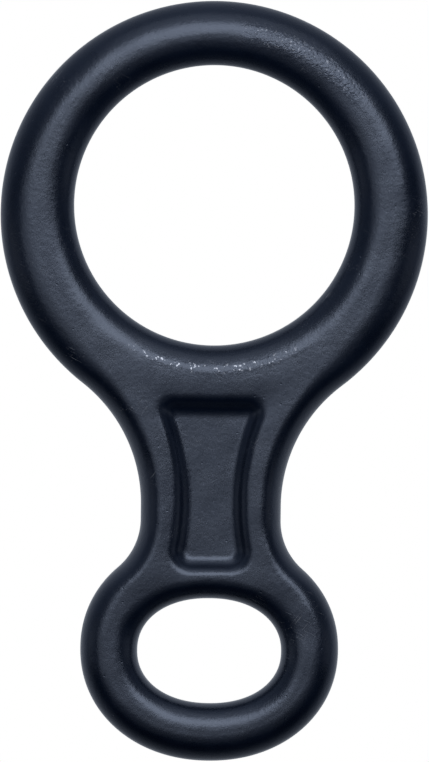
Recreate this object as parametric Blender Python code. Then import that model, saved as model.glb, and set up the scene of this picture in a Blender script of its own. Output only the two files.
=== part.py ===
"""Figure eight descender: one forged aluminium body with a rope ring, a recessed neck and a carabiner eye."""

import math

import bmesh
import bpy
import numpy as np

# Sizes in metres. X runs across the object, Y through it and Z from the carabiner eye towards the ring.
# The origin is the centre of the carabiner eye's hole. The object is symmetric in X and in Y.

# Rope ring: the round hole sits a little above the outer circle's centre, so the ring thickens at the neck
RING_RISE = 0.0805
RING_OUTER_RADIUS = 0.0394
RING_HOLE_RADIUS = 0.0259
RING_HOLE_RISE = 0.0017

# Carabiner eye: superelliptic outside and inside, wider than high. A fullness of 2 is a plain ellipse
EYE_OUTER_HALF_WIDTH = 0.02376
EYE_OUTER_HALF_HEIGHT = 0.02063
EYE_OUTER_RISE = 0.00035
EYE_OUTER_FULLNESS = 2.09
EYE_HOLE_HALF_WIDTH = 0.01331
EYE_HOLE_HALF_HEIGHT = 0.00971
EYE_HOLE_FULLNESS = 2.16

# Neck: a short straight waist, from which one concave arc swings out to the ring and one to the eye
WAIST_HALF_WIDTH = 0.01288
WAIST_RISE = 0.02416
WAIST_LENGTH = 0.00266

# Section: bars almost round, with superelliptic edges that reach in from the contours to a narrow flat land,
# and the flat band that trimming leaves at the middle plane. The reach changes along the contours
THICKNESS = 0.0105
PARTING_BAND = 0.0010
RING_EDGE_REACH = 0.0061
WAIST_EDGE_REACH = 0.0047
EYE_EDGE_REACH = 0.0046
RING_HOLE_REACH = 0.0054
EYE_HOLE_REACH = 0.0045
EYE_HOLE_NECK_REACH = 0.0036
EDGE_FULLNESS = 2.1

# Recess on both faces of the neck: hollow sides, narrowest a little above the waist, and drafted, filleted walls
RAIL_LAND = 0.0010
RECESS_RING_LAND = 0.0034
RECESS_EYE_LAND = 0.0004
RECESS_SIDE_RADIUS = 0.042
RECESS_SIDE_RISE = 0.0020
RECESS_FLOOR_CORNER = 0.0006
RECESS_DEPTH = 0.0023
RECESS_WALL_ANGLE = math.radians(52)
RECESS_RIM_RADIUS = 0.0022
RECESS_FLOOR_RADIUS = 0.0026

# Share of a bar that its two rounded edges may take, and the fineness of the arcs
MOST_ROUNDED = 0.97
ARC_STEP = math.radians(5)
CORNER_STEP = math.radians(14)
EDGE_STEPS = 7
FILLET_STEPS = 3


def arc(centre, radius, start, end, material_side, step=ARC_STEP):
    """A circular arc as rows (x, z, nx, nz), n pointing into the material: 1 away from the centre, -1 towards it."""
    angles = np.linspace(start, end, max(2, math.ceil(abs(end - start) / step)) + 1)
    direction = np.stack([np.cos(angles), np.sin(angles)], axis=1)
    return np.hstack([np.array(centre) + radius * direction, material_side * direction])


def power(value, exponent):
    """A power that keeps the value's sign."""
    return np.sign(value) * np.abs(value) ** exponent


def oval(half_width, half_height, fullness, angle):
    """Points and outward unit normals (x, z, nx, nz) of a superellipse about the origin, at parametric angles."""
    cosine, sine = np.cos(angle), np.sin(angle)
    across = half_width * power(cosine, 2 / fullness)
    up = half_height * power(sine, 2 / fullness)
    normal_across = power(cosine, 2 - 2 / fullness) / half_width
    normal_up = power(sine, 2 - 2 / fullness) / half_height
    length = np.hypot(normal_across, normal_up)
    return np.stack([across, up, normal_across / length, normal_up / length], axis=-1)


def oval_stretch(size, rise, start, end, material_side):
    """A stretch of a superellipse raised along Z, in the same rows as an arc. Size is as `oval` takes it."""
    angles = np.linspace(start, end, math.ceil(abs(end - start) / ARC_STEP) + 1)
    return oval(*size, angles) * (1, 1, material_side, material_side) + (0, rise, 0, 0)


def ankle_tangent(eye):
    """Where the waist's lower arc touches the eye's oval: the oval's angle there, and the arc's radius."""
    low, high = math.radians(1), math.radians(89.9)
    for _ in range(60):
        angle = (low + high) / 2
        across, up, normal_across, normal_up = oval(*eye, angle)
        radius = (WAIST_RISE - EYE_OUTER_RISE - up) / normal_up
        if across + radius * (normal_across - 1) > WAIST_HALF_WIDTH:
            low = angle
        else:
            high = angle
    return angle, radius


def shoulder_radius():
    """Radius of the arc that touches both the waist's straight side and the ring's outer circle."""
    drop = RING_RISE - WAIST_RISE - WAIST_LENGTH
    spread = RING_OUTER_RADIUS - WAIST_HALF_WIDTH
    return (drop**2 + WAIST_HALF_WIDTH**2 - RING_OUTER_RADIUS**2) / (2 * spread)


def outer_contour():
    """Right half of the silhouette, from the ring's top to the eye's bottom."""
    shoulder = shoulder_radius()
    shoulder_centre = (WAIST_HALF_WIDTH + shoulder, WAIST_RISE + WAIST_LENGTH)
    turn = math.atan2(shoulder_centre[1] - RING_RISE, shoulder_centre[0])
    eye_size = (EYE_OUTER_HALF_WIDTH, EYE_OUTER_HALF_HEIGHT, EYE_OUTER_FULLNESS)
    eye_angle, ankle = ankle_tangent(eye_size)
    ankle_centre = (WAIST_HALF_WIDTH + ankle, WAIST_RISE)
    eye_normal = oval(*eye_size, eye_angle)[2:]
    ankle_end = math.pi + math.atan2(eye_normal[1], eye_normal[0])
    ring = arc((0, RING_RISE), RING_OUTER_RADIUS, math.pi / 2, turn, -1)
    upper = arc(shoulder_centre, shoulder, math.pi + turn, math.pi, 1)
    lower = arc(ankle_centre, ankle, math.pi, ankle_end, 1)
    eye = oval_stretch(eye_size, EYE_OUTER_RISE, eye_angle, -math.pi / 2, -1)
    return on_axis(np.vstack([ring, upper[1:], lower, eye[1:]]))


def ring_hole_contour():
    """Right half of the rope ring's hole, from top to bottom."""
    centre = (0, RING_RISE + RING_HOLE_RISE)
    return on_axis(arc(centre, RING_HOLE_RADIUS, math.pi / 2, -math.pi / 2, 1))


def eye_hole_contour():
    """Right half of the carabiner eye's hole, from top to bottom."""
    size = (EYE_HOLE_HALF_WIDTH, EYE_HOLE_HALF_HEIGHT, EYE_HOLE_FULLNESS)
    return on_axis(oval_stretch(size, 0, math.pi / 2, -math.pi / 2, 1))


def on_axis(contour):
    """The half contour with its two ends exactly on the Z axis and square to it."""
    for end in (0, -1):
        contour[end, 0] = 0
        contour[end, 2:] = (0, math.copysign(1, contour[end, 3]))
    return contour


def ring_share():
    """Share of their reach that the ring's two edges keep where its bar is too thin for both."""
    bar = RING_OUTER_RADIUS - RING_HOLE_RADIUS - abs(RING_HOLE_RISE)
    return min(1, MOST_ROUNDED * bar / (RING_EDGE_REACH + RING_HOLE_REACH))


def eye_share():
    """The same for the carabiner eye's bar."""
    side = EYE_OUTER_HALF_WIDTH - EYE_HOLE_HALF_WIDTH
    below = EYE_OUTER_HALF_HEIGHT - EYE_HOLE_HALF_HEIGHT - abs(EYE_OUTER_RISE)
    return min(1, MOST_ROUNDED * min(side, below) / (EYE_EDGE_REACH + EYE_HOLE_REACH))


def eased(height, low, high):
    """0 below the low height and 1 above the high one, with a smooth step between them."""
    along = np.clip((height - low) / (high - low), 0, 1)
    return along**2 * (3 - 2 * along)


def outer_reach(height):
    """Reach of the outer edge: the ring's, drawn in at the waist, then the eye's."""
    ring, eye = RING_EDGE_REACH * ring_share(), EYE_EDGE_REACH * eye_share()
    above = eased(height, WAIST_RISE + WAIST_LENGTH, ring_hole_bottom())
    below = 1 - eased(height, EYE_HOLE_HALF_HEIGHT, WAIST_RISE)
    return WAIST_EDGE_REACH + (ring - WAIST_EDGE_REACH) * above + (eye - WAIST_EDGE_REACH) * below


def eye_hole_reach(height):
    """Reach of the eye hole's edge: tighter at the top, where the neck's recess comes close."""
    below = EYE_HOLE_REACH * eye_share()
    return below + (EYE_HOLE_NECK_REACH - below) * eased(height, 0, EYE_HOLE_HALF_HEIGHT)


def ring_hole_bottom():
    """Height of the ring hole's lowest point."""
    return RING_RISE + RING_HOLE_RISE - RING_HOLE_RADIUS


def edge_rows(contour, reach):
    """Rows of points from the middle plane over the rounded edge to the flat front face."""
    rows = [in_space(contour, 0, 0)]
    rise = (THICKNESS - PARTING_BAND) / 2
    for angle in np.linspace(0, math.pi / 2, EDGE_STEPS + 1):
        inset = reach * (1 - max(math.cos(angle), 0) ** (2 / EDGE_FULLNESS))
        height = PARTING_BAND / 2 + rise * math.sin(angle) ** (2 / EDGE_FULLNESS)
        rows.append(in_space(contour, inset, height))
    return rows


def in_space(contour, inset, height):
    """The contour moved into the material by the inset, at a height in front of the middle plane."""
    flat = contour[:, :2] + np.reshape(inset, (-1, 1)) * contour[:, 2:]
    return np.stack([flat[:, 0], np.full(len(flat), -height), flat[:, 1]], axis=1)


def wall_profile():
    """Inset and depth of each row of the recess wall: rim radius, straight draft, floor radius."""
    rounded = (RECESS_RIM_RADIUS + RECESS_FLOOR_RADIUS) * (1 - math.cos(RECESS_WALL_ANGLE))
    fit = min(1, 0.9 * RECESS_DEPTH / rounded)
    rim, floor = RECESS_RIM_RADIUS * fit, RECESS_FLOOR_RADIUS * fit
    straight = (RECESS_DEPTH - fit * rounded) / math.tan(RECESS_WALL_ANGLE)
    reach = (rim + floor) * math.sin(RECESS_WALL_ANGLE) + straight
    angles = np.linspace(0, RECESS_WALL_ANGLE, FILLET_STEPS + 1)
    over = [(rim * math.sin(a), rim * (1 - math.cos(a))) for a in angles]
    under = [(reach - floor * math.sin(a), RECESS_DEPTH - floor * (1 - math.cos(a))) for a in angles]
    return over + under[::-1]


def recess_contour(wall_reach):
    """Right half of the recess's rim, from the ring's side to the eye's, n pointing into the recess."""
    top = ring_hole_bottom() - RING_HOLE_REACH * ring_share() - RECESS_RING_LAND
    bottom = EYE_HOLE_HALF_HEIGHT + EYE_HOLE_NECK_REACH + RECESS_EYE_LAND
    narrowest = WAIST_RISE + WAIST_LENGTH / 2 + RECESS_SIDE_RISE
    side_centre = (WAIST_HALF_WIDTH - WAIST_EDGE_REACH - RAIL_LAND + RECESS_SIDE_RADIUS, narrowest)
    corner = wall_reach + RECESS_FLOOR_CORNER

    def corner_centre(height):
        across = (RECESS_SIDE_RADIUS + corner) ** 2 - (height - narrowest) ** 2
        return side_centre[0] - math.sqrt(across), height

    upper, lower = corner_centre(top - corner), corner_centre(bottom + corner)
    upper_turn = math.atan2(upper[1] - narrowest, upper[0] - side_centre[0])
    lower_turn = math.atan2(lower[1] - narrowest, lower[0] - side_centre[0]) % math.tau
    rim_top = np.array([[0, top, 0, -1]])
    rim_bottom = np.array([[0, bottom, 0, 1]])
    upper_corner = arc(upper, corner, math.pi / 2, upper_turn - math.pi, -1, CORNER_STEP)
    side = arc(side_centre, RECESS_SIDE_RADIUS, upper_turn, lower_turn, 1)
    lower_corner = arc(lower, corner, lower_turn - math.pi, -math.pi / 2, -1, CORNER_STEP)
    return np.vstack([rim_top, upper_corner, side[1:-1], lower_corner, rim_bottom])


def chain(mesh, points):
    """Vertices along the points, joined by edges."""
    verts = [mesh.verts.new(point) for point in points]
    edges = [mesh.edges.new(pair) for pair in zip(verts, verts[1:])]
    return verts, edges


def skin(mesh, rows):
    """Bridges each row of points to the next, and returns the first and the last row's vertices."""
    chains = [chain(mesh, row) for row in rows]
    for (_, near), (_, far) in zip(chains, chains[1:]):
        bmesh.ops.bridge_loops(mesh, edges=near + far)
    return chains[0][0], chains[-1][0]


def quarter_body():
    """A quarter of the body: its front right part, open where the mirrored parts meet it."""
    silhouette, ring_inside, eye_inside = outer_contour(), ring_hole_contour(), eye_hole_contour()
    wall = wall_profile()
    rim = recess_contour(wall[-1][0])
    mesh = bmesh.new()
    _, outer = skin(mesh, edge_rows(silhouette, outer_reach(silhouette[:, 1])))
    _, ring_hole = skin(mesh, edge_rows(ring_inside, RING_HOLE_REACH * ring_share()))
    _, eye_hole = skin(mesh, edge_rows(eye_inside, eye_hole_reach(eye_inside[:, 1])))
    recess, floor = skin(mesh, [in_space(rim, inset, THICKNESS / 2 - depth) for inset, depth in wall])
    face = mesh.faces.new(outer + eye_hole[::-1] + recess[::-1] + ring_hole[::-1])
    mesh.faces.new(floor)
    bmesh.ops.recalc_face_normals(mesh, faces=mesh.faces)
    if face.normal.y > 0:
        bmesh.ops.reverse_faces(mesh, faces=mesh.faces)
    return mesh


def anodised_aluminium():
    """Dark blue-grey satin anodising over aluminium."""
    material = bpy.data.materials.new("anodised_aluminium")
    material.use_nodes = True
    shader = material.node_tree.nodes["Principled BSDF"]
    shader.inputs["Base Color"].default_value = (0.038, 0.046, 0.062, 1)
    shader.inputs["Roughness"].default_value = 0.42
    shader.inputs["Metallic"].default_value = 0.35
    return material


def descender_body():
    """The whole forging, mirrored from its quarter across both planes of symmetry."""
    mesh = bpy.data.meshes.new("descender_body")
    quarter = quarter_body()
    quarter.to_mesh(mesh)
    quarter.free()
    mesh.shade_smooth()
    mesh.set_sharp_from_angle(angle=math.radians(50))
    mesh.materials.append(anodised_aluminium())
    body = bpy.data.objects.new("descender_body", mesh)
    bpy.context.scene.collection.objects.link(body)
    mirror = body.modifiers.new("halves", "MIRROR")
    mirror.use_axis = (True, True, False)
    mirror.merge_threshold = 0.00001
    return body


for old in list(bpy.data.objects):
    bpy.data.objects.remove(old)
descender_body()
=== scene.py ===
import math

import bmesh
import bpy
import numpy as np
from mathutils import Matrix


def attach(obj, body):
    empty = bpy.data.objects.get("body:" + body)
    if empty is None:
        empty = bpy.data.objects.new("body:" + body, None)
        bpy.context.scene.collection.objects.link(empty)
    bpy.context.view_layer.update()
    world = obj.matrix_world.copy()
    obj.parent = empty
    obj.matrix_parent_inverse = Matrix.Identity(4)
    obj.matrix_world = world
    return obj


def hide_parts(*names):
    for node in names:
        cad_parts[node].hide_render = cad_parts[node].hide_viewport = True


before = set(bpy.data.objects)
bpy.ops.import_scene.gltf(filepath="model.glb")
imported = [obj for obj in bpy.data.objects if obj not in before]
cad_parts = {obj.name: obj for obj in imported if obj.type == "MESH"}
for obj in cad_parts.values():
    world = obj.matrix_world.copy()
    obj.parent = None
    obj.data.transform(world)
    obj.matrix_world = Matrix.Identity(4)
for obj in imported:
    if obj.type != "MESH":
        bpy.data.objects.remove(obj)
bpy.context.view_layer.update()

# A forged figure eight descender in dark anodised aluminium, on a pale floor in soft studio light.
# Everything is in metres, in the frame of the CAD: X across, Y from front to back,
# Z from the carabiner eye up to the rope ring. The origin is the middle of the carabiner eye.

bodyNode = "descender_body"


# Meshes from numpy arrays

def gridQuads(rows, columns, first):
    # quads of a rows x columns grid whose points are numbered row by row from the first one
    corner = first + np.arange(rows - 1)[:, None] * columns + np.arange(columns - 1)[None, :]
    quads = np.stack([corner, corner + 1, corner + columns + 1, corner + columns], axis=-1)
    return quads.reshape(-1, 4)


def weldGrids(grids):
    # joins grids of points into one list of points and quads;
    # points that are the same to a ten-thousandth of a mm become one
    quads, first = [], 0
    for grid in grids:
        quads.append(gridQuads(grid.shape[0], grid.shape[1], first))
        first += grid.shape[0] * grid.shape[1]
    points = np.vstack([grid.reshape(-1, 3) for grid in grids])
    quads = np.vstack(quads)
    rounded = np.round(points * 1e7)
    _, kept, where = np.unique(rounded, axis=0, return_index=True, return_inverse=True)
    return points[kept], where.reshape(-1)[quads]


def meshPiece(name, points, quads, material):
    # a smooth mesh from points and quads, with its faces turned outwards and one material
    mesh = bpy.data.meshes.new(name)
    mesh.from_pydata(points.tolist(), [], quads.tolist())
    outward = bmesh.new()
    outward.from_mesh(mesh)
    bmesh.ops.recalc_face_normals(outward, faces=outward.faces)
    outward.to_mesh(mesh)
    outward.free()
    mesh.polygons.foreach_set("use_smooth", np.ones(len(mesh.polygons), bool))
    mesh.materials.append(material)
    mesh.update()
    piece = bpy.data.objects.new(name, mesh)
    bpy.context.scene.collection.objects.link(piece)
    print(f"{name}: {len(points)} points, {len(quads)} faces")
    return piece


# The outline, as rows x, z, nx, nz whose n points into the metal

def circlePart(centre, radius, angles, side):
    # centre + radius * (cos, sin), n = side * (cos, sin)
    way = np.stack([np.cos(angles), np.sin(angles)], axis=1)
    return np.hstack([np.array(centre) + radius * way, side * way])


def ovalPart(halfWidth, halfHeight, fullness, rise, angles, side):
    # x = a * cos^(2/f), z = b * sin^(2/f) + rise, n = side * the unit of (cos^(2-2/f) / a, sin^(2-2/f) / b)
    cosine, sine = np.cos(angles), np.sin(angles)
    power = 2 / fullness
    x = halfWidth * np.sign(cosine) * np.abs(cosine) ** power
    z = halfHeight * np.sign(sine) * np.abs(sine) ** power
    nx = np.sign(cosine) * np.abs(cosine) ** (2 - power) / halfWidth
    nz = np.sign(sine) * np.abs(sine) ** (2 - power) / halfHeight
    size = side / np.hypot(nx, nz)
    return np.stack([x, z + rise, nx * size, nz * size], axis=1)


forging = {
    "ringRise": 0.0805,
    "ringRadius": 0.0394,
    "ringHoleRadius": 0.0259,
    "ringHoleRise": 0.0017,
    "eyeHalfWidth": 0.02376,
    "eyeHalfHeight": 0.02063,
    "eyeRise": 0.00035,
    "eyeFullness": 2.09,
    "eyeHoleHalfWidth": 0.01331,
    "eyeHoleHalfHeight": 0.00971,
    "eyeHoleFullness": 2.16,
    "waistHalfWidth": 0.01288,
    "waistRise": 0.02416,
    "waistLength": 0.00266,
    "thickness": 0.0105,
    "partingBand": 0.0010,       # flat, at the middle plane, where the dies meet
    "partingRidge": 0.00004,     # how proud the trimmed seam stands in it
    "ridgeSide": (0.4, 0.6),     # share of the half band, and of the ridge, at the seam's side
    "edgeFullness": 2.1,
    "topFullness": 1.97,         # the ring is rounder towards its top
    "ringTop": (0.085, 0.109),
    "ringReach": 0.0060,         # how far each rounded edge reaches in from its contour
    "ringTopReach": 0.0059,
    "waistReach": 0.0047,
    "waistSideRadius": 0.0062,   # the waist's section: an arc over the side and one into the face
    "waistCornerRadius": 0.0032,
    "waistEnds": ((0.010, 0.017), (0.042, 0.056)),
    "eyeReach": 0.0046,
    "ringHoleReach": 0.0059,
    "ringHoleTopReach": 0.00575,
    "ringFootReach": 0.0056,
    "ringFoot": (0.058, 0.068),  # where the foot's shape turns into the ring's
    "footRollReach": 0.004,      # the land sinks a little towards the ring's hole
    "footRollSlope": 0.03,
    "eyeHoleReach": 0.0046,
    "eyeHoleFootReach": 0.0051,
    "eyeHoleNeckReach": 0.0036,
    "eyeRollReach": 0.0035,      # and towards the upper half of the eye's hole
    "eyeRollSlope": 0.09,
    "eyeRollEnds": (0.000, 0.006),
    "recessTop": 0.0475,         # the recess's rim on the ring's side and on the eye's side
    "recessBottom": 0.0137,
    "recessHalfWidth": 0.0072,   # at its narrowest
    "recessNarrowest": 0.0275,
    "recessSideRadius": 0.042,
    "recessCorner": 0.0055,
    "recessTopCorner": 0.0042,
    "recessCornerBlend": 0.005,  # one corner radius turns into the other over twice this
    "recessTopEase": 0.86,       # the wall on the ring's side is laid back by this much
    "recessDepth": 0.0023,
    "recessWallAngle": math.radians(52),
    "recessRimRadius": 0.0022,
    "recessFloorRadius": 0.0026,
    "recessRollReach": 0.0032,   # the land sinks a little towards the recess
    "recessRollSlope": 0.09,
    "unevenness": 0.000010,      # the dies' own waviness
    "waves": 14,
    "waveLengths": (0.004, 0.013),
    "waveSeed": 8,
    "backStretch": 1.07,         # so that the back isn't the front's mirror image
    "neckTop": math.radians(141.7),      # on the shoulder's and the ankle's arcs, the neck grid's ends
    "neckBottom": math.radians(200),
    "ringSplit": math.radians(-57),      # and on the two holes
    "eyeSplit": math.radians(57),
    "neckTopGap": 0.0022,        # between the ring hole's edge and the neck grid, on the axis
    "neckBottomRise": 0.0190,
    "linesOfRing": 104,          # how fine the mesh is
    "linesOfShoulder": 16,
    "linesOfNeck": 40,
    "rowsOfNeck": (66, 8, 17),
    "linesOfAnkle": 16,
    "linesOfEye": 76,
    "edgeRows": 14,
    "ringColumns": 12,
    "eyeColumns": 24,
}


def ankleTouch(f):
    # an arc that starts tangent to the waist's side touches the eye's oval: the oval's angle there,
    # found by halving, the arc's radius and the arc's own angle
    low, high = math.radians(1), math.radians(89.9)
    width, height, fullness = f["eyeHalfWidth"], f["eyeHalfHeight"], f["eyeFullness"]
    for _ in range(60):
        angle = (low + high) / 2
        x, z, nx, nz = ovalPart(width, height, fullness, 0, np.array([angle]), 1)[0]
        radius = (f["waistRise"] - f["eyeRise"] - z) / nz
        if x + radius * (nx - 1) > f["waistHalfWidth"]:
            low = angle
        else:
            high = angle
    return angle, radius, math.pi + math.atan2(nz, nx)


def silhouette(f):
    # right half from the ring's top to the eye's bottom: circle, concave shoulder, waist, concave
    # ankle, oval; also the numbers of the points where the neck's grid begins and ends
    drop = f["ringRise"] - f["waistRise"] - f["waistLength"]
    spread = f["ringRadius"] - f["waistHalfWidth"]
    shoulder = (drop**2 + f["waistHalfWidth"] ** 2 - f["ringRadius"] ** 2) / (2 * spread)
    shoulderCentre = (f["waistHalfWidth"] + shoulder, f["waistRise"] + f["waistLength"])
    turn = math.atan2(shoulderCentre[1] - f["ringRise"], shoulderCentre[0])
    oval, ankle, ankleEnd = ankleTouch(f)
    ankleCentre = (f["waistHalfWidth"] + ankle, f["waistRise"])
    neckTop, neckBottom = f["neckTop"], f["neckBottom"]
    upper, straight, lower = f["rowsOfNeck"]

    def steps(start, end, count):
        return np.linspace(start, end, count + 1)

    waist = np.zeros((straight + 1, 4))
    waist[:, 0] = f["waistHalfWidth"]
    waist[:, 1] = f["waistRise"] + steps(f["waistLength"], 0, straight)
    waist[:, 2] = -1
    ringSteps = steps(math.pi / 2, turn, f["linesOfRing"])
    shoulderSteps = steps(math.pi + turn, neckTop, f["linesOfShoulder"])
    ankleSteps = steps(neckBottom, ankleEnd, f["linesOfAnkle"])
    eyeSteps = steps(oval, -math.pi / 2, f["linesOfEye"])
    parts = [
        circlePart((0, f["ringRise"]), f["ringRadius"], ringSteps, -1),
        circlePart(shoulderCentre, shoulder, shoulderSteps, 1),
        circlePart(shoulderCentre, shoulder, steps(neckTop, math.pi, upper), 1),
        waist,
        circlePart(ankleCentre, ankle, steps(math.pi, neckBottom, lower), 1),
        circlePart(ankleCentre, ankle, ankleSteps, 1),
        ovalPart(f["eyeHalfWidth"], f["eyeHalfHeight"], f["eyeFullness"], f["eyeRise"], eyeSteps, -1),
    ]
    contour = onAxis(np.vstack([parts[0]] + [part[1:] for part in parts[1:]]))
    start = f["linesOfRing"] + f["linesOfShoulder"]
    return contour, start, start + upper + straight + lower


def onAxis(contour):
    # the two ends of a half contour lie on the Z axis and are square to it
    for end in (0, -1):
        contour[end, 0] = 0
        contour[end, 2:] = (0, math.copysign(1, contour[end, 3]))
    return contour


def ringHole(f, neckShare):
    # right half of the circle from top to bottom; its last angles, down the neck, go to the neck's lines
    split = f["ringSplit"]
    ringLines = f["linesOfRing"] + f["linesOfShoulder"]
    above = np.linspace(math.pi / 2, split, ringLines + 1)
    below = np.linspace(split, -math.pi / 2, neckShare + 1)
    angles = np.hstack([above, below[1:]])
    return onAxis(circlePart((0, f["ringRise"] + f["ringHoleRise"]), f["ringHoleRadius"], angles, 1))


def eyeHole(f, neckShare):
    # right half of the oval from top to bottom; its first angles go to the neck's lines
    split = f["eyeSplit"]
    eyeLines = f["linesOfAnkle"] + f["linesOfEye"]
    above = np.linspace(math.pi / 2, split, neckShare + 1)
    below = np.linspace(split, -math.pi / 2, eyeLines + 1)
    angles = np.hstack([above, below[1:]])
    width, height = f["eyeHoleHalfWidth"], f["eyeHoleHalfHeight"]
    return onAxis(ovalPart(width, height, f["eyeHoleFullness"], 0, angles, 1))


# The section

def eased(value, low, high):
    # t^2 * (3 - 2t), t from 0 at the low value to 1 at the high one
    t = np.clip((value - low) / (high - low), 0, 1)
    return t**2 * (3 - 2 * t)


def outerReach(f, z):
    # blends the waist's reach into the ring's above it and the eye's below it,
    # and the ring's into its top's
    holeBottom = f["ringRise"] + f["ringHoleRise"] - f["ringHoleRadius"]
    above = eased(z, f["waistRise"] + f["waistLength"], holeBottom)
    below = 1 - eased(z, f["eyeHoleHalfHeight"], f["waistRise"])
    crown = eased(z, *f["ringTop"])
    waist, ring, eye, top = f["waistReach"], f["ringReach"], f["eyeReach"], f["ringTopReach"]
    return waist + (ring - waist) * above + (eye - waist) * below + (top - ring) * crown


def eyeHoleReach(f, z):
    # blends the sides' reach into the neck's above the eye's middle and into the foot's below it
    side, neck, foot = f["eyeHoleReach"], f["eyeHoleNeckReach"], f["eyeHoleFootReach"]
    height = f["eyeHoleHalfHeight"]
    return side + (neck - side) * eased(z, 0, height) + (foot - side) * eased(-z, height / 4, height)


def ringHoleReach(f, z):
    # blends the sides' reach into the foot's and into the top's
    foot = 1 - eased(z, *f["ringFoot"])
    top = eased(z, *f["ringTop"])
    side = f["ringHoleReach"]
    return side + (f["ringFootReach"] - side) * foot + (f["ringHoleTopReach"] - side) * top


def waistSection(f):
    # inset and height of an arc of radius R about the middle plane, then one of radius r into the face,
    # for normals at the angle a: R * (1 - sin a, cos a) and (end - r * sin a, h - r + r * cos a)
    side, corner, half = f["waistSideRadius"], f["waistCornerRadius"], f["thickness"] / 2
    end = side - math.sqrt((side - corner) ** 2 - (half - corner) ** 2)
    meet = math.acos((half - corner) / (side - corner))
    angles = np.linspace(math.acos(f["partingBand"] / 2 / side), 0, f["edgeRows"] + 1)
    inset = np.where(angles > meet, side * (1 - np.sin(angles)), end - corner * np.sin(angles))
    height = np.where(angles > meet, side * np.cos(angles), half - corner + corner * np.cos(angles))
    return inset[:, None], height[:, None]


def roundedEdge(f, contour, reach, waist=0):
    # rows over the edge: inset = reach * (1 - cos^(2/n)), height = band / 2 + rise * sin^(2/n),
    # t from 0 to 90 degrees, blended with the waist's section by its share;
    # before them the flat parting band, whose seam at the middle plane stands proud
    band = f["partingBand"] / 2
    rise = f["thickness"] / 2 - band
    t = np.linspace(0, math.pi / 2, f["edgeRows"] + 1)[:, None]
    crown = eased(contour[:, 1], *f["ringTop"])
    power = 2 / (f["edgeFullness"] + (f["topFullness"] - f["edgeFullness"]) * crown)
    inset = reach * (1 - np.clip(np.cos(t), 0, 1) ** power)
    height = band + rise * np.sin(t) ** power
    waistInset, waistHeight = waistSection(f)
    inset = inset * (1 - waist) + waistInset * waist
    height = height * (1 - waist) + waistHeight * waist
    ridge, columns = f["partingRidge"], len(contour)
    sideHeight, sideRidge = f["ridgeSide"]
    inset = np.vstack([np.full(columns, -ridge), np.full(columns, -ridge * sideRidge), inset])
    height = np.vstack([np.zeros(columns), np.full(columns, band * sideHeight), height + np.zeros(columns)])
    x = contour[:, 0] + inset * contour[:, 2]
    z = contour[:, 1] + inset * contour[:, 3]
    x[:, np.abs(contour[:, 0]) < 1e-9] = 0
    return np.stack([x, -height, z], axis=-1)


def roundedCorner(a, b, radius):
    # the distance inside two edges that an arc joins: r - hypot(r - a, r - b), each kept above 0
    return radius - np.hypot(np.clip(radius - a, 0, None), np.clip(radius - b, 0, None))


def recessDepth(f, x, z):
    # s is the distance inside the rim; the wall is an arc over the rim, a straight draft and an arc
    # into the floor, and the land's roll goes on over it with a slope that fades out at the floor
    centre = f["recessHalfWidth"] + f["recessSideRadius"]
    side = np.hypot(np.abs(x) - centre, z - f["recessNarrowest"]) - f["recessSideRadius"]
    ends = np.minimum((f["recessTop"] - z) * f["recessTopEase"], z - f["recessBottom"])
    narrowest, blend = f["recessNarrowest"], f["recessCornerBlend"]
    upper = eased(z, narrowest - blend, narrowest + blend)
    s = roundedCorner(side, ends, f["recessCorner"] + (f["recessTopCorner"] - f["recessCorner"]) * upper)
    slope, roll = f["recessRollSlope"], f["recessRollReach"]
    angle, rim, floor = f["recessWallAngle"], f["recessRimRadius"], f["recessFloorRadius"]

    def straight(depth):
        return (depth - (rim + floor) * (1 - math.cos(angle))) / math.tan(angle)

    reach = (rim + floor) * math.sin(angle) + straight(f["recessDepth"])
    depth = f["recessDepth"] - slope * roll / 2 - slope * reach / 2
    reach = (rim + floor) * math.sin(angle) + straight(depth)
    over = rim - np.sqrt(np.clip(rim**2 - np.clip(s, 0, rim * math.sin(angle)) ** 2, 0, None))
    draft = np.clip(s - rim * math.sin(angle), 0, straight(depth)) * math.tan(angle)
    left = np.clip(reach - s, 0, floor * math.sin(angle))
    under = floor * (1 - math.cos(angle)) - (floor - np.sqrt(floor**2 - left**2))
    inside = np.clip(s, 0, reach)
    outside = np.clip(s + roll, 0, roll)
    sink = slope * outside**2 / (2 * roll) + slope * (inside - inside**2 / (2 * reach))
    return over + draft + under + sink


def footSink(f, x, z):
    # slope * roll / 2 * u^2 on the land, u from 0 to 1 over the roll,
    # and slope * distance on towards the hole
    away = np.hypot(x, z - f["ringRise"] - f["ringHoleRise"]) - f["ringHoleRadius"] - f["ringFootReach"]
    slope, roll = f["footRollSlope"], f["footRollReach"]
    land = slope * np.clip(roll - away, 0, roll) ** 2 / (2 * roll)
    return (land + slope * np.clip(-away, 0, None)) * (1 - eased(z, *f["ringFoot"]))


def eyeSink(f, x, z):
    # as the foot's, with the distance r - r / q along the ray from the eye's middle,
    # q = (|x / a|^n + |z / b|^n)^(1/n), which is 1 on the hole's oval and is kept above 0.5
    power = f["eyeHoleFullness"]
    measure = np.abs(x / f["eyeHoleHalfWidth"]) ** power + np.abs(z / f["eyeHoleHalfHeight"]) ** power
    measure = np.maximum(measure ** (1 / power), 0.5)
    away = np.hypot(x, z) * (1 - 1 / measure) - eyeHoleReach(f, z)
    slope, roll = f["eyeRollSlope"], f["eyeRollReach"]
    land = slope * np.clip(roll - away, 0, roll) ** 2 / (2 * roll)
    return (land + slope * np.clip(-away, 0, None)) * eased(z, *f["eyeRollEnds"])


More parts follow.
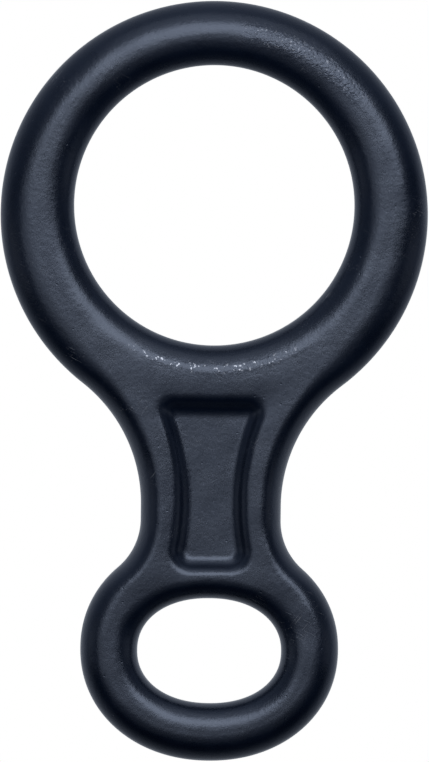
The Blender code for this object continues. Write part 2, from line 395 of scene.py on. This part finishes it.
def waviness(f, x, z):
    # a sum of sine waves, each of its own way, phase and length, as high as the unevenness
    # over the root of its number
    rng = np.random.default_rng(f["waveSeed"])
    total = 0
    for number in range(f["waves"]):
        way, phase = rng.uniform(0, math.tau, 2)
        length = rng.uniform(*f["waveLengths"])
        along = x * math.cos(way) + z * math.sin(way)
        total = total + np.sin(along * math.tau / length + phase) / math.sqrt(number + 1)
    return total * f["unevenness"]


def between(start, end, count):
    # straight lines from each point of one curve to the same point of the other
    t = np.linspace(0, 1, count + 1)[:, None, None]
    return start[None] * (1 - t) + end[None] * t


def neckGrid(top, bottom, side, columns):
    # Coons patch: the rows from the axis to the side curve, blended with the top and the bottom curves
    rows = len(side)
    v = np.linspace(0, 1, rows)[:, None, None]
    u = np.linspace(0, 1, columns + 1)[None, :, None]
    axis = np.zeros((rows, 2))
    axis[:, 1] = top[0, 1] + (bottom[0, 1] - top[0, 1]) * np.linspace(0, 1, rows)
    ruled = axis[:, None] * (1 - u) + side[:, None] * u
    lofted = top[None] * (1 - v) + bottom[None] * v
    corners = (top[0] * (1 - u) + top[-1] * u) * (1 - v) + (bottom[0] * (1 - u) + bottom[-1] * u) * v
    return ruled + lofted - corners


def frontRightQuarter(f):
    # rounded edges along the three contours, and flat grids between their inner rows: ring, neck and eye
    outer, neckFrom, neckTo = silhouette(f)
    columns = f["linesOfNeck"]
    ring, eye = ringHole(f, columns), eyeHole(f, columns)
    below, above = f["waistEnds"]
    waist = eased(outer[:, 1], *below) * (1 - eased(outer[:, 1], *above))
    edges = [
        roundedEdge(f, outer, outerReach(f, outer[:, 1]), waist),
        roundedEdge(f, ring, ringHoleReach(f, ring[:, 1])),
        roundedEdge(f, eye, eyeHoleReach(f, eye[:, 1])),
    ]
    outerIn, ringIn, eyeIn = (edge[-1][:, [0, 2]] for edge in edges)
    share = np.linspace(0, 1, columns + 1)[:, None]
    upperMiddle = np.array([0, ringIn[-1, 1] - f["neckTopGap"]])
    lowerMiddle = np.array([0, f["neckBottomRise"]])
    upper = upperMiddle * (1 - share) + outerIn[neckFrom] * share
    lower = lowerMiddle * (1 - share) + outerIn[neckTo] * share
    ringOuter = np.vstack([outerIn[:neckFrom], upper[::-1]])
    eyeOuter = np.vstack([lower, outerIn[neckTo + 1:]])
    flats = [
        between(ringIn, ringOuter, f["ringColumns"]),
        neckGrid(upper, lower, outerIn[neckFrom:neckTo + 1], columns),
        between(eyeIn, eyeOuter, f["eyeColumns"]),
    ]
    for flat in flats:
        height = np.full(flat.shape[:2], -f["thickness"] / 2)
        edges.append(np.stack([flat[..., 0], height, flat[..., 1]], axis=-1))
    return edges


def forgedBody(f):
    # the quarter is mirrored in Y, then in X
    quarter = frontRightQuarter(f)
    half = quarter + [grid * (1, -1, 1) for grid in quarter]
    return weldGrids(half + [grid * (-1, 1, 1) for grid in half])


def sunkFaces(f, points):
    # each point moves towards the middle plane by depth * (|y| / half thickness)^2:
    # in full on the faces, and not at all at the parting line
    x, y, z = points.T
    fullness = np.clip(np.abs(y) / (f["thickness"] / 2), 0, 1) ** 2
    uneven = waviness(f, x, z * np.where(y > 0, f["backStretch"], 1))
    depth = recessDepth(f, x, z) + footSink(f, x, z) + eyeSink(f, x, z) + uneven
    return np.stack([x, y - np.sign(y) * depth * fullness, z], axis=1)


# Shader maths

class Value:
    # a shader socket that adds, takes away, multiplies and compares as numbers do

    def __init__(self, tree, socket):
        self.tree, self.socket = tree, socket

    def maths(self, operation, *others):
        return self.tree.node("ShaderNodeMath", {"operation": operation}, [self, *others]).out()

    def __add__(self, other):
        return self.maths("ADD", other)

    def __sub__(self, other):
        return self.maths("SUBTRACT", other)

    def __mul__(self, other):
        return self.maths("MULTIPLY", other)

    def __gt__(self, other):
        return self.maths("GREATER_THAN", other)

    def __rsub__(self, other):
        return self.tree.node("ShaderNodeMath", {"operation": "SUBTRACT"}, [other, self]).out()

    __radd__ = __add__
    __rmul__ = __mul__


class Made:
    # a node that was made, whose outputs are asked for by name or number

    def __init__(self, tree, node):
        self.tree, self.node = tree, node

    def out(self, name=0):
        return Value(self.tree, self.node.outputs[name])


class Tree:
    # the node tree of a material or a world, emptied first

    def __init__(self, owner):
        owner.use_nodes = True
        self.nodes, self.links = owner.node_tree.nodes, owner.node_tree.links
        self.nodes.clear()

    def node(self, kind, settings=None, sockets=None):
        # the settings come first, because they change which sockets there are
        node = self.nodes.new(kind)
        for name, value in (settings or {}).items():
            setattr(node, name, value)
        pairs = sockets.items() if isinstance(sockets, dict) else enumerate(sockets or [])
        for name, value in pairs:
            if isinstance(value, Value):
                self.links.new(value.socket, node.inputs[name])
            else:
                node.inputs[name].default_value = value
        return Made(self, node)

    def mixColour(self, factor, first, second):
        # the Mix node's sockets 6 and 7 and its output 2 are the ones for colours
        return self.node("ShaderNodeMix", {"data_type": "RGBA"}, {0: factor, 6: first, 7: second}).out(2)

    def smooth(self, value, low, high):
        # 0 up to the low value, 1 from the high one on
        settings = {"interpolation_type": "SMOOTHSTEP"}
        return self.node("ShaderNodeMapRange", settings, [value, low, high, 0.0, 1.0]).out()


anodising = {
    "colour": (0.0021, 0.0050, 0.0140, 1),
    "deepColour": (0.0014, 0.0037, 0.0108, 1),
    "glossTint": (0.655, 0.765, 1.0, 1),
    "index": 1.6,                # of refraction, of the sealed oxide
    "roughness": 0.29,
    "cloudSize": 0.0075,         # slow change of tone and of roughness over the faces
    "cloudSpan": (0.32, 0.68),
    "cloudRoughness": 0.10,
    "grainSize": 0.00032,        # blasted grain
    "grainDepth": 0.000018,
    "grainRoughness": 0.12,
    "peelSize": 0.00100,         # shallow dents left by tumbling
    "peelDepth": 0.000034,
    "pitSize": 0.0016,           # lone pits
    "pitSpan": (0.03, 0.16),     # from a pit's floor to its rim, in pit sizes
    "pitShare": 0.12,
    "pitDepth": 0.000035,
    "patchSize": 0.011,          # where the finish has met other gear
    "patchSpan": (0.56, 0.70),
    "bareColour": (0.42, 0.45, 0.52, 1),     # aluminium that shows where the oxide is nicked
    "bareShare": 0.30,
    "nickSpan": (0.64, 0.74),
    "dentSize": 0.0007,          # coarse dents where ropes and carabiners have worn the finish
    "dentDepth": 0.00009,
    "speckSize": 0.00052,        # and bright specks among them
    "speckSpan": (0.62, 0.70),
    "speckShare": 0.60,
    "wornCore": 0.2,             # share of a worn arc's half width that is worn in full
    "footArc": {                 # below the ring's hole
        "centre": (0.0005, 0, 0.0822),
        "radius": 0.0302,
        "width": 0.0014,
        "below": (0.0530, 0.0585),
    },
    "shoulderArc": {             # on the ring's upper right
        "centre": (0, 0, 0.0805),
        "radius": 0.0343,
        "width": 0.0027,
        "rightOf": (0.0030, 0.0080),
        "above": (0.098, 0.106),
    },
    "shoulderDents": 1.7,        # how strong they are there, next to the foot's
    "shoulderSpecks": 0.5,
    "scratchDepth": 0.000010,
    "scratchSpan": (0.76, 0.84),
    "scratches": [
        {"turn": math.radians(38), "width": 0.00011, "length": 0.0042},
        {"turn": math.radians(-64), "width": 0.00009, "length": 0.0030},
    ],
}


def anodisedAluminium(a):
    # a dark dyed gloss over fine relief; where it is worn or nicked, bare metal shows
    material = bpy.data.materials.new("anodised_aluminium")
    tree = Tree(material)
    place = tree.node("ShaderNodeTexCoord").out("Object")
    parts = tree.node("ShaderNodeSeparateXYZ", None, [place])
    x, z = parts.out("X"), parts.out("Z")

    def noise(size, detail, roughness=0.5, distortion=0.0, where=place):
        made = tree.node("ShaderNodeTexNoise", {"noise_dimensions": "3D"}, {
            "Vector": where,
            "Scale": 1 / size,
            "Detail": detail,
            "Roughness": roughness,
            "Distortion": distortion,
        })
        return made.out("Fac")

    def wornArc(centre, radius, width, below=None, rightOf=None, above=None):
        # 1 along an arc on the faces, fading to 0 across its width and past its ends
        flat = tree.node("ShaderNodeVectorMath", {"operation": "MULTIPLY"}, [place, (1, 0, 1)]).out()
        away = tree.node("ShaderNodeVectorMath", {"operation": "DISTANCE"}, [flat, centre]).out("Value")
        arc = 1 - tree.smooth((away - radius).maths("ABSOLUTE"), width * a["wornCore"], width)
        if below:
            return arc * (1 - tree.smooth(z, *below))
        return arc * tree.smooth(x, *rightOf) * tree.smooth(z, *above)

    def scratches(turn, width, length):
        # straight hairlines: noise squeezed across a direction and stretched along it,
        # of which only the peaks are kept
        along = tree.node("ShaderNodeMapping", {"vector_type": "TEXTURE"}, {
            "Vector": place,
            "Rotation": (0, turn, 0),
            "Scale": (width, length, length),
        }).out()
        return tree.smooth(noise(1, 0.0, where=along), *a["scratchSpan"])

    grain = noise(a["grainSize"], 2.0, 0.6)
    peel = noise(a["peelSize"], 2.0)
    cloud = noise(a["cloudSize"], 3.0, 0.6)
    worn = tree.smooth(noise(a["patchSize"], 2.0, 0.5, 0.6), *a["patchSpan"])
    dots = tree.node("ShaderNodeTexVoronoi", {"feature": "F1"}, {
        "Vector": place,
        "Scale": 1 / a["pitSize"],
    })
    chance = tree.node("ShaderNodeSeparateColor", None, [dots.out("Color")]).out("Red")
    pit = (1 - tree.smooth(dots.out("Distance"), *a["pitSpan"])) * (chance > 1 - a["pitShare"])
    first, second = (scratches(**s) for s in a["scratches"])
    scratch = first.maths("MAXIMUM", second) * worn
    foot, shoulder = wornArc(**a["footArc"]), wornArc(**a["shoulderArc"])
    dented = foot.maths("MAXIMUM", shoulder * a["shoulderDents"])
    dents = noise(a["dentSize"], 2.0, 0.6) * dented
    specked = foot.maths("MAXIMUM", shoulder * a["shoulderSpecks"])
    speck = tree.smooth(noise(a["speckSize"], 1.0), *a["speckSpan"]) * specked
    height = (grain * a["grainDepth"] + peel * a["peelDepth"] + dents * a["dentDepth"]
              - pit * a["pitDepth"] - scratch * a["scratchDepth"])
    bump = tree.node("ShaderNodeBump", None, {"Strength": 1.0, "Distance": 1.0, "Height": height}).out()
    nick = tree.smooth(grain, *a["nickSpan"]) * worn
    bare = (nick.maths("MAXIMUM", scratch) * a["bareShare"]).maths("MAXIMUM", speck * a["speckShare"])
    dyed = tree.mixColour(tree.smooth(cloud, *a["cloudSpan"]), a["deepColour"], a["colour"])
    uneven = (cloud - 0.5) * a["cloudRoughness"] + (grain - 0.5) * a["grainRoughness"]
    shader = tree.node("ShaderNodeBsdfPrincipled", None, {
        "Base Color": tree.mixColour(bare, dyed, a["bareColour"]),
        "Roughness": a["roughness"] + uneven,
        "Metallic": bare,
        "IOR": a["index"],
        "Specular Tint": a["glossTint"],
        "Normal": bump,
    }).out()
    tree.node("ShaderNodeOutputMaterial", None, {"Surface": shader})
    return material


print("body")
points, quads = forgedBody(forging)
points = sunkFaces(forging, points)
body = meshPiece("forgedBody", points, quads, anodisedAluminium(anodising))
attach(body, "root")
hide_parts(bodyNode)


# The stage: pale floor, white surroundings, soft lamps, camera

white = (1, 1, 1, 1)

stage = {
    "floorHeight": -0.0206,      # just under the eye's lowest point
    "floorHalf": 1.2,
    "floorColour": (0.80, 0.80, 0.80, 1),
    "glow": 0.55,                # seen by the camera only, so the floor is pale without more lamps
    "fade": (0.10, 0.60),        # how far out the floor turns into the white surroundings
}


def paleFloor(s):
    # the camera sees the lit floor with a glow near the object, and plain white far out;
    # every other ray meets the lit floor alone
    material = bpy.data.materials.new("paleFloor")
    tree = Tree(material)
    rays = tree.node("ShaderNodeLightPath")
    place = tree.node("ShaderNodeTexCoord").out("Object")
    away = tree.node("ShaderNodeVectorMath", {"operation": "LENGTH"}, [place]).out("Value")
    lit = tree.node("ShaderNodeBsdfDiffuse", None, {"Color": s["floorColour"]}).out()
    glow = tree.node("ShaderNodeEmission", None, {"Color": white, "Strength": s["glow"]}).out()
    far = tree.node("ShaderNodeEmission", None, {"Color": white, "Strength": 1.0}).out()
    near = tree.node("ShaderNodeAddShader", None, [lit, glow]).out()
    fade = tree.smooth(away, *s["fade"])
    seen = tree.node("ShaderNodeMixShader", None, [fade, near, far]).out()
    shader = tree.node("ShaderNodeMixShader", None, [rays.out("Is Camera Ray"), lit, seen]).out()
    tree.node("ShaderNodeOutputMaterial", None, {"Surface": shader})
    corners = np.array([(-1, -1, 0), (1, -1, 0), (1, 1, 0), (-1, 1, 0)]) * s["floorHalf"]
    floor = meshPiece("floor", corners + (0, 0, s["floorHeight"]), np.array([[0, 1, 2, 3]]), material)
    floor.visible_glossy = False
    floor.visible_diffuse = False


studio = {
    "behind": 0.52,              # what gloss sees behind the object
    "below": 0.25,               # taken away there for what comes from straight below
    "above": 0.34,               # what gloss sees in front, from straight above
    "left": 0.06,                # and from the left
    "turn": (-0.45, 0.55),       # where the front turns into the back, as parts of a ray's Y
    "haze": (0.91, 1.0, 1.16, 1),
    "ambient": 0.04,             # what rough surfaces get from all round
}


def studioWorld(s):
    # the camera sees plain white; gloss sees the studio's dark front and its hazy back
    world = bpy.data.worlds.new("studio")
    bpy.context.scene.world = world
    tree = Tree(world)
    rays = tree.node("ShaderNodeLightPath")
    way = tree.node("ShaderNodeTexCoord").out("Generated")
    parts = tree.node("ShaderNodeSeparateXYZ", None, [way])
    across, back, up = parts.out("X"), parts.out("Y"), parts.out("Z")
    front = (up * s["above"] - across * s["left"]).maths("MAXIMUM", 0)
    behind = s["behind"] + (up * s["below"]).maths("MINIMUM", 0)
    gloss = front + (behind - front) * tree.smooth(back, *s["turn"])
    isGloss = rays.out("Is Glossy Ray")
    isSeen = rays.out("Is Camera Ray").maths("MAXIMUM", rays.out("Is Transmission Ray"))
    level = isSeen + (1 - isSeen) * (isGloss * gloss + (1 - isGloss) * s["ambient"])
    colour = tree.mixColour(isSeen, s["haze"], white)
    shader = tree.node("ShaderNodeBackground", None, {"Color": colour, "Strength": level}).out()
    tree.node("ShaderNodeOutputWorld", None, {"Surface": shader})


# the lamps are aimed at the object's middle; angles are in degrees, the azimuth from the front to the right

softbox = {
    "distance": 0.60,
    "elevation": 23.0,
    "azimuth": 7,
    "width": 0.51,
    "height": 0.32,
    "radiance": 4.3,
}

frontFill = {
    "distance": 0.70,
    "elevation": -0.5,
    "azimuth": -12.5,
    "width": 0.56,
    "height": 0.26,
    "radiance": 0.92,
}

lowFill = {
    "distance": 0.70,
    "elevation": -21,
    "azimuth": -4,
    "width": 0.80,
    "height": 0.38,
    "radiance": 0.15,
}

highFill = {
    "distance": 0.60,
    "elevation": 53,
    "azimuth": 4,
    "width": 0.60,
    "height": 0.30,
    "radiance": 0.65,
}

sideFill = {
    "distance": 0.32,
    "elevation": -7,
    "azimuth": 66,
    "width": 0.20,
    "height": 0.10,
    "radiance": 0.30,
}

lampAim = 0.05


def softLamp(name, s):
    # a rectangle of one radiance all over gives pi * radiance * area
    light = bpy.data.lights.new(name, "AREA")
    light.shape = "RECTANGLE"
    light.size, light.size_y = s["width"], s["height"]
    light.energy = s["radiance"] * math.pi * s["width"] * s["height"]
    lamp = bpy.data.objects.new(name, light)
    bpy.context.scene.collection.objects.link(lamp)
    up, turn = math.radians(s["elevation"]), math.radians(s["azimuth"])
    lamp.location = (
        s["distance"] * math.cos(up) * math.sin(turn),
        -s["distance"] * math.cos(up) * math.cos(turn),
        lampAim + s["distance"] * math.sin(up),
    )
    lamp.rotation_euler = (math.pi / 2 - up, 0, turn)
    lamp.visible_camera = False


lens = {
    "centre": (0.00041, 0.04978),
    "distance": 0.60,
    "height": 0.14065,
    "roll": math.radians(0.669),
    "clip": (0.01, 10),
}


def photoCamera(c):
    # square to the front face, as in the photograph, and turned by its small roll
    camera = bpy.data.cameras.new("photoCamera")
    camera.type = "ORTHO"
    camera.ortho_scale = c["height"]
    camera.clip_start, camera.clip_end = c["clip"]
    eye = bpy.data.objects.new("photoCamera", camera)
    bpy.context.scene.collection.objects.link(eye)
    eye.location = (c["centre"][0], -c["distance"], c["centre"][1])
    eye.rotation_euler = (math.pi / 2, -c["roll"], 0)
    bpy.context.scene.camera = eye


print("stage")
paleFloor(stage)
studioWorld(studio)
softLamp("softbox", softbox)
softLamp("frontFill", frontFill)
softLamp("lowFill", lowFill)
softLamp("highFill", highFill)
softLamp("rightFill", sideFill)
softLamp("leftFill", {**sideFill, "azimuth": -sideFill["azimuth"]})
photoCamera(lens)
bpy.context.scene.view_settings.view_transform = "Standard"

print("done")
